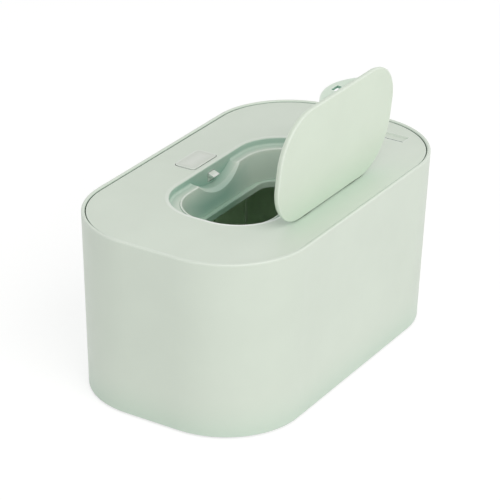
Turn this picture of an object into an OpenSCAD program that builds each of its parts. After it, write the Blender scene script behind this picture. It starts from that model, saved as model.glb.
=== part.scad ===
// Baby wipe warmer with a lift-off top cover, a flip lid on a gooseneck hinge and a push-button latch.
// Frame: +X along the long side, -Y the button side, +Y the hinge side, Z up from the feet.
// Drawn as it stands in use with the flip lid open.

/* [Housing] */
// Length over the rim
body_l = 220; // [205:1:240]
// Depth over the rim
body_w = 131; // [126:1:150]
// Height of the outer shell
body_h = 102.3; // [96:0.1:125]
// Plan radius of the four corners at the rim
corner_r = 48.7; // [44:0.1:54]
// How far each side draws in from the rim to the base
draft = 4.5; // [2:0.1:6]
// Thickness of the outer shell
wall = 2.4; // [2:0.1:3]
// Width of the rim seen around the cover
rim_w = 2; // [2:0.1:2.6]
// How far the feet stand below the shell
foot_proud = 1; // [0.5:0.1:3]

/* [Top cover] */
// Depth of the deck below the rim
deck_drop = 0.9; // [0.5:0.05:2]
// Thickness of the deck
deck_t = 2.2; // [1.8:0.1:3]
// Gap between the rim and the deck
seam = 0.45; // [0.3:0.05:0.8]
// Length of the well at its wall
well_l = 119.4; // [110:0.2:126]
// Depth of the well at its wall, front to back
well_w = 65.6; // [60:0.2:68]
// Plan radius of the well's corners
well_r = 27.6; // [22:0.2:30]
// Well centre, to the +X side
well_x = 1.8; // [0:0.1:4]
// Well centre, to the hinge side
well_y = 0.8; // [0:0.1:2]
// Depth of the lid's seat below the deck
ledge_depth = 4.6; // [4.5:0.1:6]
// Width of the lid's seat
ledge_w = 6; // [5.6:0.1:7]
// Plan radius of the funnel's corners at its top
funnel_r = 24; // [20:0.5:25]
// Depth of the funnel below the deck
funnel_depth = 21; // [18:0.1:24]
// How far the funnel draws in from top to bottom
funnel_taper = 3; // [2:0.1:3.6]
// Length of the mouth that the wipes leave by
mouth_l = 87; // [70:1:90]
// Depth of the mouth, front to back
mouth_w = 42.2; // [34:0.2:43]
// Plan radius of the mouth's corners
mouth_r = 10; // [6:0.5:16]
// Height of the collar round the mouth
collar_h = 4.1; // [3:0.1:6]

/* [Flip lid] */
// Gap between the lid and the well's wall
lid_gap = 0.7; // [0.5:0.05:1]
// Thickness of the outer skin
lid_skin = 1.6; // [1.4:0.1:2]
// Depth of the lid's rim
lid_rim = 3; // [2.8:0.1:3.2]
// Angle that the lid opens through
open_angle = 95.5; // [80:0.5:100]
// Hinge axis behind the body's middle plane
hinge_y = 39.2; // [38.8:0.1:40]
// Hinge axis below the deck
hinge_drop = 5.2; // [5:0.1:5.6]
// Distance of each hinge arm from the lid's middle
arm_offset = 24; // [18:0.5:26]
// Width of each hinge arm
arm_w = 7; // [5:0.5:8]
// Radius of the hinge pins
pin_r = 1.25; // [1:0.05:1.5]

/* [Push button and latch] */
// Length of the button
button_l = 24.2; // [22:0.2:28]
// Depth of the button, front to back
button_w = 13; // [12.8:0.1:14]
// Button centre in front of the body's middle plane
button_y = -42; // [-43:0.5:-41]
// How far the button goes down
button_travel = 2; // [1.5:0.1:2.2]
// How far the latch draws back for each millimetre of button travel
cam_ratio = 1.2; // [1.1:0.05:1.3]
// Width of the latch nose
nose_w = 5.8; // [5:0.1:6.4]

/* [Tank and heater] */
// Outer length of the tank
tank_l = 185; // [170:1:188]
// Outer depth of the tank, front to back
tank_w = 104; // [96:1:106]
// Plan radius of the tank's corners
tank_r = 20; // [16:1:24]
// Height of the tank's underside above the table
tank_floor_z = 20; // [19:0.5:24]
// Thickness of the tank
tank_t = 1.8; // [1.5:0.1:2.2]

/* [Hidden] */

// colours
mint = [0.80, 0.87, 0.80];
mint_dark = [0.70, 0.79, 0.71];
tank_grey = [0.27, 0.34, 0.26];
silicone = [0.88, 0.91, 0.88];
steel = [0.72, 0.73, 0.75];
rubber_grey = [0.30, 0.32, 0.31];

// heights
rim_z = foot_proud + body_h;
deck_z = rim_z - deck_drop;
deck_bottom = deck_z - deck_t;
seat_z = deck_bottom - 0.05;      // ledge in the shell that carries the deck
flange_z = deck_z - 7.45;         // top of the tank's flange
ledge_z = deck_z - ledge_depth;
hinge_z = deck_z - hinge_drop;

// plan sizes
deck_in = rim_w + seam;           // the deck's edge, in from the rim's outside
skirt_in = deck_in + 1.85;
skirt_t = 1.8;
skirt_depth = 5.5;
seal_in = 6.8;
seal_w = 2.4;
seal_top = 5.55;                  // underside of the seal's rib below the deck
flange_t = 1.8;

// base, feet and screws
plate_z = foot_proud + 0.4;
plate_t = 2;
plate_top = plate_z + plate_t;
foot_r = 6;
foot_x = 76;
foot_y = 42;
screw_x = 92;
screw_y = 30;
screw_r = 1.4;
boss_h = 13;

// heater stack, from the tank's underside down
heat_plate_t = 1.5;
film_t = 0.3;
pad_t = 3.3;
pad_z = tank_floor_z - 0.15 - heat_plate_t - film_t - pad_t;
pad_posts = [[-56, -34], [56, -34], [-56, 34], [56, 34], [0, 34]];
cutout_x = -35;
sensor_x = 35;
tank_ribs = [-66, -33, 0, 33, 66];

// control board, mode button and its light
board_z = plate_top + 3;
board_t = 1.6;
board_w = 33;
board_y = -38.5;
control_z = 11.5;
mode_r = 5;
lens_x = 13;
lens_r = 1.6;
plug_x = -24.5;                   // faces of the two plugs where their leads leave
plug_y = -24.5;
lead_z = 10.3;

// power inlet in the -X end wall
inlet_z = 11.7;
inlet_face = body_l / 2 - 5.1;    // plane of the flat that the inlet's flange sits on
inlet_flange_w = 24;
inlet_flange_h = 14.6;
inlet_body_w = 20;
inlet_body_h = 12.2;
inlet_socket_w = 16.6;
inlet_socket_h = 9;
inlet_depth = 13;
inlet_len = 17;
inlet_pin_r = 1.2;
pin_pitch = 8.6;

// well, funnel and mouth
well_front = well_y - well_w / 2;
well_back = well_y + well_w / 2;
seat_fillet = 1.5;                // where the well's wall runs into the lid's seat
panel_t = 2;                      // thickness of the well's wall and seat
funnel_l = well_l - 2 * ledge_w;
funnel_w = well_w - 2 * ledge_w;
funnel_t = 1.8;
bead_w = 1.3;                     // raised bead that the lid's gasket lands on
bead_top = 4;
collar_t = 1.4;
ring_t = 1.6;

// scoop in the front of the well, turned about an axis along Y
scoop_x = 0.7;
scoop_r = 31.5;                   // radius at the wall
scoop_rise = 20.5;                // its axis above the deck
scoop_flare = 0.05;               // growth for each millimetre away from the wall
lip_y = well_front + 4.8;         // where the scoop flares out into its lip
lip_flare = 0.6;
scoop_end = well_front + 8;

// finger recess
grip_x0 = -94;
grip_w = 8.5;
grip_y0 = 7;
grip_l = 34;
grip_floor = 1.15;
grip_slot = 2.9;                  // width of the slot along the recess
grip_depth = 4.2;                 // of the slot
grip_under = 0.9;                 // undercut that the fingertips pull on
grip_skin = 1.3;

// hinge pockets
pocket_y0 = 30.6;
pocket_y1 = hinge_y + 4.6;
pocket_depth = 11;
pocket_wall = 1.8;
spring_room = 3.3;
hub_r = 4.4;

// lid
lid_l = well_l - 2 * lid_gap;
lid_w = well_w - 2 * lid_gap;
lid_r = well_r - lid_gap;
lid_back = well_y + lid_w / 2;
liner_bottom = lid_rim + 0.2;
plug_bottom = 4.1;
gasket_bottom = 3.95;
gasket_w = 1.3;
tab_y = -28.6;
tab_t = 1.6;
tab_r = 34.5;
tab_rise = 24.3;
tab_slot_w = 7;
tab_slot_top = 4.2;
tab_slot_bottom = 6.9;

// button and latch
button_x = 0.1;
button_r = 2.3;
button_gap = 0.35;
guide_depth = 12;
guide_y0 = -49.6;
guide_y1 = -34.6;
guide_screw_x = 17.4;
spring_x = 8;
slider_t = 2.8;
slider_bottom = -8.4;             // below the deck
slider_mid = slider_bottom + slider_t / 2;
slider_y0 = -46.8;
floor_gap = guide_depth + slider_bottom - 0.1;
cam_y0 = -40.6;
cap_t = 1.5;                      // thickness of the button's top
rings_per_curl = 8;
nose_x = 0.2;
nose_y = -28.2;
nose_top = -4.2;                  // at the wall, below the deck
nose_under = -6.2;
$fn = 64;

// ---------------------------------------------------------------- helpers

// points of an arc in a profile
function arc(cx, cy, r, a0, a1, n = 5) =
    [for (i = [0:n]) let (a = a0 + (a1 - a0) * i / n) [cx + r * cos(a), cy + r * sin(a)]];

// rectangle with round corners
module rounded_rect(l, w, r) {
    square([l - 2 * r, w], center = true);
    square([l, w - 2 * r], center = true);
    for (x = [-1, 1], y = [-1, 1])
        translate([x * (l / 2 - r), y * (w / 2 - r)]) circle(r);
}

module rounded_plate(l, w, r, h) {
    linear_extrude(h) rounded_rect(l, w, r);
}

// upright band between two round-cornered rectangles; inner and outer are measured in from l by w
module rounded_band(l, w, r, outer, inner, h) {
    linear_extrude(h) difference() {
        rounded_rect(l - 2 * outer, w - 2 * outer, r - outer);
        rounded_rect(l - 2 * inner, w - 2 * inner, r - inner);
    }
}

// a flat outline in (y, z), drawn out along +X
module along_x(length) {
    rotate([90, 0, 90]) linear_extrude(length) children();
}

// outline with two round ends, w wide and h high
module stadium(w, h) {
    square([w - h, h], center = true);
    for (s = [-1, 1]) translate([s * (w - h) / 2, 0]) circle(h / 2);
}

function unit(v) = v / norm(v);

// direction of a path at point i
function heading(path, i) =
    unit(path[min(i + 1, len(path) - 1)] - path[max(i - 1, 0)]);

// a vector square to the heading, the same way round all along the path
function beside(path, i) =
    let (t = heading(path, i), up = abs(t[2]) > 0.9 ? [1, 0, 0] : [0, 0, 1]) unit(cross(t, up));

// wire of radius r along a path
module tube(path, r, sides) {
    n = len(path);
    rings = [for (i = [0:n - 1]) let (t = heading(path, i), a = beside(path, i), b = cross(a, t))
        for (k = [0:sides - 1]) path[i] + r * (cos(360 * k / sides) * a + sin(360 * k / sides) * b)];
    faces = concat(
        [[for (k = [0:sides - 1]) k]],
        [for (i = [0:n - 2], k = [0:sides - 1]) let (m = (k + 1) % sides)
            each [[i * sides + k, (i + 1) * sides + k, i * sides + m],
                  [i * sides + m, (i + 1) * sides + k, (i + 1) * sides + m]]],
        [[for (k = [sides - 1:-1:0]) (n - 1) * sides + k]]);
    polyhedron(rings, faces);
}

// least clear distance of a coiled wire from its own neighbouring turns, on its points
function least_gap(path, r, apart) =
    min([for (i = [0:len(path) - 1]) for (j = [i + apart:1:len(path) - 1]) norm(path[i] - path[j])]) - 2 * r;

// sweep a profile round a rectangle with round corners.
// profile points are [distance in from the l by w outline, height]
module swept_profile(l, w, r, points) {
    corner = [for (p = points) [r - p[0], p[1]]];
    for (k = [0:3]) {
        sx = (k == 0 || k == 3) ? 1 : -1;
        sy = k < 2 ? 1 : -1;
        translate([sx * (l / 2 - r), sy * (w / 2 - r), 0])
            rotate([0, 0, 90 * k]) rotate_extrude(angle = 90) polygon(corner);
    }
    for (side = [0, 180]) rotate([0, 0, side]) {
        translate([-(l / 2 - r), w / 2 - r, 0])
            rotate([90, 0, 90]) linear_extrude(l - 2 * r) polygon(corner);
        translate([l / 2 - r, w / 2 - r, 0])
            rotate([90, 0, 0]) linear_extrude(w - 2 * r) polygon(corner);
    }
}

// ---------------------------------------------------------------- housing

// how far the outside has drawn in from the rim at height z
function draw_in(z) = draft / body_h * (rim_z - z);

module base_screw_places() {
    for (x = [-1, 1], y = [-1, 1]) translate([x * screw_x, y * screw_y, 0]) children();
}

// drafted shell with the rim, the seat for the deck and the shelf for the tank
module outer_shell() {
    rim_out = 0.9;       // radii of the rim's two edges
    rim_in = 1.05;
    shelf_z = flange_z - flange_t - 0.05;
    seat_in = 4;
    shelf_in = 6.2;
    shelf_root = 84;     // height where the shelf's slope runs back into the wall
    color(mint) difference() {
        union() {
            swept_profile(body_l, body_w, corner_r, concat(
                [[draw_in(foot_proud), foot_proud]],
                arc(rim_out, rim_z - rim_out, rim_out, 180, 90),
                arc(rim_w - rim_in, rim_z - rim_in, rim_in, 90, 0),
                [[rim_w, seat_z], [seat_in, seat_z], [seat_in, seat_z - 1.6],
                 [draw_in(96) + wall, 96], [draw_in(shelf_z) + wall, shelf_z],
                 [shelf_in, shelf_z], [shelf_in, shelf_z - 1.8],
                 [draw_in(shelf_root) + wall, shelf_root],
                 [draw_in(foot_proud) + wall, foot_proud]]));
            // bosses for the base screws, each on a rib to the end wall
            base_screw_places() translate([0, 0, plate_top + 0.05]) cylinder(h = boss_h, r = 4);
            for (x = [-1, 1], y = [-1, 1])
                translate([x * (screw_x + 5.8) - 4.8, y * screw_y - 1, plate_top + 0.05])
                    cube([9.6, 2, boss_h]);
            // thick pad behind the power inlet
            translate([-inlet_face + 1.2, -14, plate_top + 0.2]) cube([2, 28, 17]);
        }
        base_screw_places() translate([0, 0, plate_top - 1]) cylinder(h = 12, r = screw_r);
        // mode button and its light
        translate([0, -body_w / 2, control_z]) rotate([-90, 0, 0]) cylinder(h = 12, r = mode_r + 0.4);
        translate([lens_x, -body_w / 2, control_z]) rotate([-90, 0, 0]) cylinder(h = 12, r = lens_r + 0.05);
        // flat recess and hole for the inlet
        translate([-body_l / 2 - 1, 0, inlet_z])
            along_x(body_l / 2 + 1 - inlet_face) stadium(inlet_flange_w + 0.4, inlet_flange_h + 0.4);
        translate([-body_l / 2, 0, inlet_z])
            along_x(12) stadium(inlet_body_w + 0.3, inlet_body_h + 0.3);
    }
}

// floor of the housing, with feet pockets, board pillars and pad posts
module base_plate() {
    edge_in = draw_in(foot_proud) + wall + 0.2;
    color(mint_dark) difference() {
        union() {
            translate([0, 0, plate_z])
                rounded_plate(body_l - 2 * edge_in, body_w - 2 * edge_in, corner_r - edge_in, plate_t);
            // locating rib inside the shell
            translate([0, 0, plate_z])
                rounded_band(body_l, body_w, corner_r, edge_in + 1.4, edge_in + 2.8, plate_t + 1.5);
            for (p = pad_posts) translate([p[0], p[1], plate_z]) cylinder(h = pad_z - 0.05 - plate_z, r = 3);
            for (x = [-1, 1], y = [board_y - 12.5, board_y + 12.5])
                translate([x * 28, y, plate_z]) cylinder(h = board_z - plate_z, r = 2.6);
            // stiffening ribs
            for (x = [-66, -44, 44, 66]) translate([x - 0.6, -46, plate_z]) cube([1.2, 92, plate_t + 1.8]);
            for (y = [4, 22]) translate([-66, y - 0.6, plate_z]) cube([132, 1.2, plate_t + 1.8]);
        }
        base_screw_places() {
            translate([0, 0, plate_z - 1]) cylinder(h = 12, r = screw_r + 0.15);
            translate([0, 0, plate_z - 0.01]) cylinder(h = 1.4, r1 = 3.1, r2 = screw_r + 0.15);
            // clear of the shell's bosses
            translate([0, 0, plate_top]) cylinder(h = 4, r = 4.4);
        }
        for (x = [-1, 1], y = [-1, 1])
            translate([x * (screw_x + 5.8) - 5.3, y * screw_y - 1.3, plate_top]) cube([10.6, 2.6, 4]);
        foot_places() translate([0, 0, plate_z - 1]) cylinder(h = 1.9, r = foot_r + 0.2);
        for (x = [-1, 1], y = [board_y - 12.5, board_y + 12.5])
            translate([x * 28, y, board_z - 3.2]) cylinder(h = 12, r = 1);
    }
}

module foot_places() {
    for (x = [-1, 1], y = [-1, 1]) translate([x * foot_x, y * foot_y, 0]) children();
}

module rubber_feet() {
    color(rubber_grey) foot_places() {
        cylinder(h = 0.6, r1 = foot_r - 0.6, r2 = foot_r);
        translate([0, 0, 0.6]) cylinder(h = plate_z + 0.9 - 0.6 - 0.05, r = foot_r);
    }
}

// countersunk screws with a cross recess, driven from below
module base_screws() {
    color(steel) base_screw_places() difference() {
        union() {
            translate([0, 0, plate_z + 0.1]) cylinder(h = 1.3, r1 = 2.9, r2 = screw_r);
            translate([0, 0, plate_z + 1.4]) cylinder(h = 9, r = screw_r - 0.05);
        }
        for (a = [0, 90]) rotate([0, 0, a]) translate([-1.7, -0.35, plate_z]) cube([3.4, 0.7, 0.9]);
    }
}

// ---------------------------------------------------------------- tank and heater

// compartment for the wipes, hung by its flange on the shell's shelf
module inner_tank() {
    inner_l = tank_l - 2 * tank_t;
    inner_w = tank_w - 2 * tank_t;
    flange_in = 3.3;
    color(tank_grey) {
        difference() {
            union() {
                translate([0, 0, tank_floor_z])
                    rounded_plate(tank_l, tank_w, tank_r, flange_z - tank_floor_z - 0.5);
                translate([0, 0, flange_z - flange_t])
                    rounded_plate(body_l - 2 * flange_in, body_w - 2 * flange_in, corner_r - flange_in, flange_t);
            }
            translate([0, 0, tank_floor_z + tank_t])
                rounded_plate(inner_l, inner_w, tank_r - tank_t, flange_z);
        }
        // floor ribs keep the pack off the warm floor
        for (y = [-36:12:36]) translate([-75, y - 0.8, tank_floor_z + tank_t - 0.2]) cube([150, 1.6, 1.6]);
        // upright guide ribs on the long walls
        for (x = tank_ribs, s = [-1, 1])
            translate([x - 0.8, s * (inner_w / 2 - 0.3) - 0.9, tank_floor_z + tank_t - 0.2])
                cube([1.6, 1.8, flange_z - tank_floor_z - 16]);
    }
}

module heat_plate() {
    color([0.80, 0.81, 0.82])
        translate([0, 0, tank_floor_z - 0.05 - heat_plate_t]) rounded_plate(164, 90, 12, heat_plate_t);
}

// etched-foil heater under the plate, with its solder tab
module heater_film() {
    top = tank_floor_z - 0.1 - heat_plate_t;
    color([0.80, 0.52, 0.20]) translate([0, 0, top - film_t]) {
        rounded_plate(160, 86, 10, film_t);
        translate([-6, -50, 0]) cube([12, 9, film_t]);
    }
}

module insulation_pad() {
    color([0.86, 0.86, 0.82]) translate([0, 0, pad_z]) difference() {
        rounded_plate(166, 92, 12, pad_t);
        translate([cutout_x, 0, -1]) cylinder(h = pad_t + 2, r = 9.5);
        translate([sensor_x, 0, -1]) cylinder(h = pad_t + 2, r = 7);
    }
}

// bimetal cut-out pressed on the heater film
module thermal_cutout() {
    top = pad_z + pad_t;
    color([0.25, 0.22, 0.20]) translate([cutout_x, 0, 0]) {
        translate([0, 0, top - 1.2]) cylinder(h = 1.2, r = 8.4);
        translate([0, 0, top - 5.6]) cylinder(h = 4.5, r = 6.6);
        for (x = [-1, 1]) translate([x * 3.5 - 1.6, -0.4, top - 8.8]) cube([3.2, 0.8, 3.4]);
    }
}

module temperature_sensor() {
    top = pad_z + pad_t;
    color([0.16, 0.16, 0.16]) translate([sensor_x, 0, 0]) {
        translate([-4.5, -3, top - 1.4]) cube([9, 6, 1.4]);
        translate([0, 0, top - 2.6]) sphere(2, $fn = 32);
    }
}

// board with its relay, connector, capacitor, side switch and light
module control_board() {
    top = board_z + board_t;
    front = board_y - board_w / 2;
    color([0.13, 0.38, 0.24]) {
        difference() {
            translate([-32, front, board_z]) cube([64, board_w, board_t]);
            for (x = [-1, 1], y = [board_y - 12.5, board_y + 12.5])
                translate([x * 28, y, board_z - 1]) cylinder(h = 4, r = 1.3);
        }
        // side-operated switch behind the mode button
        translate([-3, front, top - 0.1]) cube([6, 4, control_z + 2.4 - top]);
        translate([0, front + 0.2, control_z]) rotate([90, 0, 0]) cylinder(h = 1.1, r = 1.1);
        // light behind the lens
        translate([lens_x - 1.6, front + 0.4, top - 0.1]) cube([3.2, 2.4, control_z + 1.6 - top]);
        // relay, lead connector and heater connector
        translate([-22, board_y - 6, top - 0.1]) cube([14, 11, 4.2]);
        translate([plug_x, board_y + 6, top - 0.1]) cube([7, 9, 4]);
        translate([12, board_y + 6, top - 0.1]) cube([10, plug_y - board_y - 6, 4]);
        translate([18, board_y - 3, top - 0.1]) cylinder(h = 4.2, r = 3);
    }
}

module board_screws() {
    color(steel) for (x = [-1, 1], y = [board_y - 12.5, board_y + 12.5])
        translate([x * 28, y, 0]) difference() {
            union() {
                translate([0, 0, board_z + board_t]) cylinder(h = 1.3, r = 2.1);
                translate([0, 0, board_z - 3]) cylinder(h = board_t + 3.1, r = 0.95);
            }
            for (a = [0, 90]) rotate([0, 0, a])
                translate([-1.3, -0.25, board_z + board_t + 0.7]) cube([2.6, 0.5, 1]);
        }
}

// round soft-edged button on the front wall
module mode_button() {
    face = body_w / 2 - draw_in(control_z) + 0.6;
    color(mint_dark) translate([0, 0, control_z]) {
        translate([0, -face, 0]) rotate([-90, 0, 0]) cylinder(h = 0.5, r1 = mode_r - 0.5, r2 = mode_r);
        translate([0, -face + 0.5, 0]) rotate([-90, 0, 0]) cylinder(h = 3.1, r = mode_r);
        translate([0, -face + 3.6, 0]) rotate([-90, 0, 0]) cylinder(h = 1, r = mode_r + 1.2);
        translate([0, -face + 4.5, 0]) rotate([-90, 0, 0]) cylinder(h = 0.7, r = 1.4);
    }
}

module indicator_lens() {
    face = body_w / 2 - draw_in(control_z) + 0.2;
    color([0.93, 0.95, 0.93]) translate([lens_x, 0, control_z]) {
        translate([0, -face, 0]) rotate([-90, 0, 0]) cylinder(h = 3.6, r = lens_r);
        translate([0, -face + 3.3, 0]) rotate([-90, 0, 0]) cylinder(h = 1.4, r = lens_r + 0.8);
    }
}

// two-pin appliance inlet, snapped into the -X end wall from outside
module power_inlet() {
    color([0.18, 0.19, 0.18]) translate([0, 0, inlet_z]) {
        difference() {
            union() {
                translate([-inlet_face - 0.8, 0, 0]) along_x(0.8) stadium(inlet_flange_w, inlet_flange_h);
                translate([-inlet_face - 0.1, 0, 0]) along_x(inlet_len) stadium(inlet_body_w, inlet_body_h);
                // snap lugs behind the wall pad
                for (s = [-1, 1]) translate([-inlet_face + 3.3, s * (inlet_body_w / 2 + 0.2) - 0.8, -2])
                    cube([2.6, 1.6, 4]);
            }
            translate([-inlet_face - 1, 0, 0]) along_x(inlet_depth + 1) stadium(inlet_socket_w, inlet_socket_h);
            for (s = [-1, 1]) translate([-inlet_face, s * pin_pitch / 2, 0])
                along_x(inlet_len + 1) circle(inlet_pin_r);
        }
    }
}

module inlet_pins() {
    color(steel) translate([0, 0, inlet_z]) for (s = [-1, 1]) {
        translate([-inlet_face + 3, s * pin_pitch / 2, 0]) along_x(inlet_len - 1) circle(inlet_pin_r);
        translate([-inlet_face + 2.2, s * pin_pitch / 2, 0])
            rotate([0, 90, 0]) cylinder(h = 0.8, r1 = inlet_pin_r - 0.5, r2 = inlet_pin_r);
    }
}

// insulated wires between the inlet and the board
module inlet_leads() {
    for (s = [-1, 1]) color(s > 0 ? [0.35, 0.22, 0.14] : [0.20, 0.32, 0.55])
        tube([[-85.8, s * pin_pitch / 2, inlet_z], [-83.6, s * pin_pitch / 2, inlet_z], [-81, s * 4, 11],
              [-74, s * 3, 9.5], [-64, s * 2 - 3, 9.5], [-54, s * 2 - 10, 9.5], [-46, s * 2 - 18, 10],
              [-38, s * 2 - 24, 10.5], [-31, s * 2 - 27.6, 10.5], [plug_x - 2.4, s * 2 - 28, 10.5],
              [plug_x, s * 2 - 28, 10.5]],
             0.9, 8);
}

// wires from the board to the cut-out, the temperature sensor and the heater film's tab
module heater_leads() {
    film_z = tank_floor_z - 0.1 - heat_plate_t - film_t;
    sensor_z = pad_z + pad_t - 2.6;
    color([0.62, 0.16, 0.13]) {
        tube([[14, plug_y, lead_z], [14, plug_y + 2, lead_z], [9, -19, 10.8], [0, -15.5, 11], [-14, -10.5, 11],
              [-26, -6.5, 11], [cutout_x + 3.5, -3, 11], [cutout_x + 3.5, -0.4, 11]], 0.8, 8);
        tube([[19.5, plug_y, lead_z], [19.5, plug_y + 2, lead_z], [23, -18, 10.8], [28, -12.5, 12],
              [33, -8, 13], [sensor_x, -5.4, 14.4], [sensor_x, -4, sensor_z],
              [sensor_x, -2.02, sensor_z]], 0.7, 8);
        tube([[17, board_y + 6, lead_z], [17, board_y + 4, lead_z], [13, -39.5, 11.2], [9, -44.5, 12.6],
              [5, -47.4, 14.2], [3, -48.2, 16], [3, -48.2, film_z]], 0.7, 8);
    }
}

// ---------------------------------------------------------------- top cover

// plan point of the well's centre
module at_well(z = 0) {
    translate([well_x, well_y, z]) children();
}

// profile of the well's wall and the lid's seat, measured in from the well's outline
well_profile = concat(
    [[-panel_t, 0], [-0.75, 0], [-0.3, -0.2], [0, -0.7]],
    arc(seat_fillet, seat_fillet - ledge_depth, seat_fillet, 180, 270),
    [[ledge_w - 0.2, -ledge_depth], [ledge_w - 0.2, -ledge_depth - panel_t], [-panel_t, -ledge_depth - panel_t]]);

// profile of the bead and the funnel, measured in from the funnel's outline
funnel_profile = [
    [-2.4, -ledge_depth], [-bead_w, -ledge_depth], [0.2 - bead_w, -bead_top - 0.1], [0.35 - bead_w, -bead_top],
    [-0.35, -bead_top], [0, -bead_top - 0.3], [funnel_taper, -funnel_depth],
    [funnel_taper - funnel_t, -funnel_depth], [0.4 - funnel_t, -ledge_depth - panel_t],
    [-2.4, -ledge_depth - panel_t]
];

// half the well's length at a given y, on an outline grown by out
function well_half(y, out) =
    let (d = max(abs(y - well_y) - (well_w / 2 - well_r), 0)) well_l / 2 - well_r + sqrt(pow(well_r + out, 2) - d * d);

// the scoop that the lid's tab drops into, from y0 towards the middle of the well
module scoop(extra, y0, y1) {
    r0 = scoop_r + extra + scoop_flare * (y0 - well_front);
    r1 = scoop_r + extra + scoop_flare * (lip_y - well_front);
    r2 = r1 + lip_flare * (y1 - lip_y);
    translate([scoop_x, 0, deck_z + scoop_rise]) rotate([-90, 0, 0])
        rotate_extrude($fn = 128) polygon([[0, y0], [r0, y0], [r1, lip_y], [r2, y1], [0, y1]]);
}

// inside of a hinge pocket along X: room for the arm and, on the side of the well's middle, its spring
function pocket_x0(s) = well_x + s * arm_offset - arm_w / 2 - 0.4 - (s > 0 ? spring_room : 0);
function pocket_x1(s) = well_x + s * arm_offset + arm_w / 2 + 0.4 + (s < 0 ? spring_room : 0);

module cover_panel() {
    color(mint) difference() {
        union() {
            // rim of the deck with its locating skirt and seal rib
            swept_profile(body_l, body_w, corner_r, [
                [deck_in, deck_z - 0.25], [deck_in + 0.25, deck_z], [11, deck_z], [11, deck_bottom],
                [seal_in + seal_w, deck_bottom], [seal_in + seal_w, deck_z - seal_top],
                [seal_in, deck_z - seal_top], [seal_in, deck_bottom],
                [skirt_in + skirt_t, deck_bottom], [skirt_in + skirt_t, deck_z - skirt_depth],
                [skirt_in, deck_z - skirt_depth], [skirt_in, deck_bottom], [deck_in, deck_bottom]]);
            // deck
            difference() {
                translate([0, 0, deck_bottom])
                    rounded_plate(body_l - 21, body_w - 21, corner_r - 10.5, deck_t);
                at_well(deck_bottom - 1) rounded_plate(well_l + 2, well_w + 2, well_r + 1, deck_t + 2);
            }
            at_well(deck_z) {
                swept_profile(well_l, well_w, well_r, well_profile);
                swept_profile(funnel_l, funnel_w, funnel_r, funnel_profile);
            }
            // skin of the scoop
            intersection() {
                scoop(panel_t, well_front - panel_t, well_front + ledge_w - 0.2);
                translate([-30, well_front - 3, deck_z - 20]) cube([60, 12, 20 - ledge_depth - 0.6]);
            }
            // hinge pockets
            for (s = [-1, 1]) translate([pocket_x0(s) - pocket_wall, 0, deck_z])
                along_x(pocket_x1(s) - pocket_x0(s) + 2 * pocket_wall) polygon([
                    [well_back - ledge_w, -ledge_depth - 0.6], [well_back + 1, -ledge_depth - 0.6],
                    [well_back + 1, -1.5], [pocket_y1 + pocket_wall, -1.5],
                    [pocket_y1 + pocket_wall, -pocket_depth - pocket_wall],
                    [well_back - ledge_w, -pocket_depth - pocket_wall]]);
            // cup under the finger recess
            translate([grip_x0 - grip_skin, grip_y0 - grip_skin, deck_z - grip_depth - grip_skin])
                cube([grip_w + grip_under + 2 * grip_skin, grip_l + 2 * grip_skin, grip_depth + 0.3]);
            // bosses for the latch guide
            for (x = [-1, 1]) translate([x * guide_screw_x, button_y, deck_z - guide_depth])
                cylinder(h = guide_depth - 1, r = 2.8);
            // stiffening ribs under the ends of the deck
            for (y = [-22, 0, 22]) {
                x0 = well_x + well_half(y, 1.2);
                translate([x0, y - 0.7, deck_z - 5]) cube([101 - x0, 1.4, 4]);
            }
            for (y = [-22, -4]) translate([-101, y - 0.7, deck_z - 5])
                cube([101 + well_x - well_half(y, 1.2), 1.4, 4]);
        }
        // the tab's scoop, cut down through the seat and the funnel's wall
        scoop(0, well_front, scoop_end);
        // window for the latch nose
        translate([nose_x - nose_w / 2 - 0.4, well_front - 4, deck_z - 9.7]) cube([nose_w + 0.8, 5, 5.8]);
        // hinge pockets, open through the deck and the back of the seat
        for (s = [-1, 1]) {
            translate([pocket_x0(s), pocket_y0, deck_z - pocket_depth])
                cube([pocket_x1(s) - pocket_x0(s), pocket_y1 - pocket_y0, pocket_depth + 1]);
            translate([pocket_x0(s) - 5, hinge_y, hinge_z])
                along_x(pocket_x1(s) - pocket_x0(s) + 10) circle(pin_r);
        }
        // button opening
        translate([button_x, button_y, deck_bottom - 1])
            rounded_plate(button_l + 2 * button_gap, button_w + 2 * button_gap, button_r + button_gap, deck_t + 2);
        // finger recess, undercut towards the middle of the cover
        translate([0, grip_y0 + grip_l, deck_z]) rotate([90, 0, 0]) linear_extrude(grip_l)
            translate([grip_x0, 0]) polygon([
                [-0.25, 0.1], [0, -0.15], [0.5, -grip_floor], [grip_w - grip_slot, -grip_floor],
                [grip_w - grip_slot + 0.3, -grip_depth], [grip_w + grip_under, -grip_depth],
                [grip_w + grip_under, -1.6], [grip_w, -1.5], [grip_w, 0.1]]);
        for (x = [-1, 1]) translate([x * guide_screw_x, button_y, deck_z - guide_depth - 1])
            cylinder(h = 7, r = 0.95);
    }
}

// plate under the funnel with the collar that the wipes are pulled through
module mouth_ring() {
    outer = funnel_taper - funnel_t;
    color(mint_dark) at_well(deck_z - funnel_depth - 0.05) {
        translate([0, 0, -ring_t]) linear_extrude(ring_t) difference() {
            rounded_rect(funnel_l - 2 * outer, funnel_w - 2 * outer, funnel_r - outer);
            rounded_rect(mouth_l + 1.2, mouth_w + 1.2, mouth_r + 0.6);
        }
        swept_profile(mouth_l, mouth_w, mouth_r, concat(
            [[-collar_t, 0]], arc(-0.6, -0.6, 0.6, 90, 0, 3),
            [[0, 0.3 - collar_h], [-0.3, -collar_h], [-collar_t, -collar_h]]));
    }
}

module cover_seal() {
    color(silicone) translate([0, 0, flange_z + 0.05])
        rounded_band(body_l, body_w, corner_r, seal_in, seal_in + seal_w, deck_z - seal_top - flange_z - 0.05);
}

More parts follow.
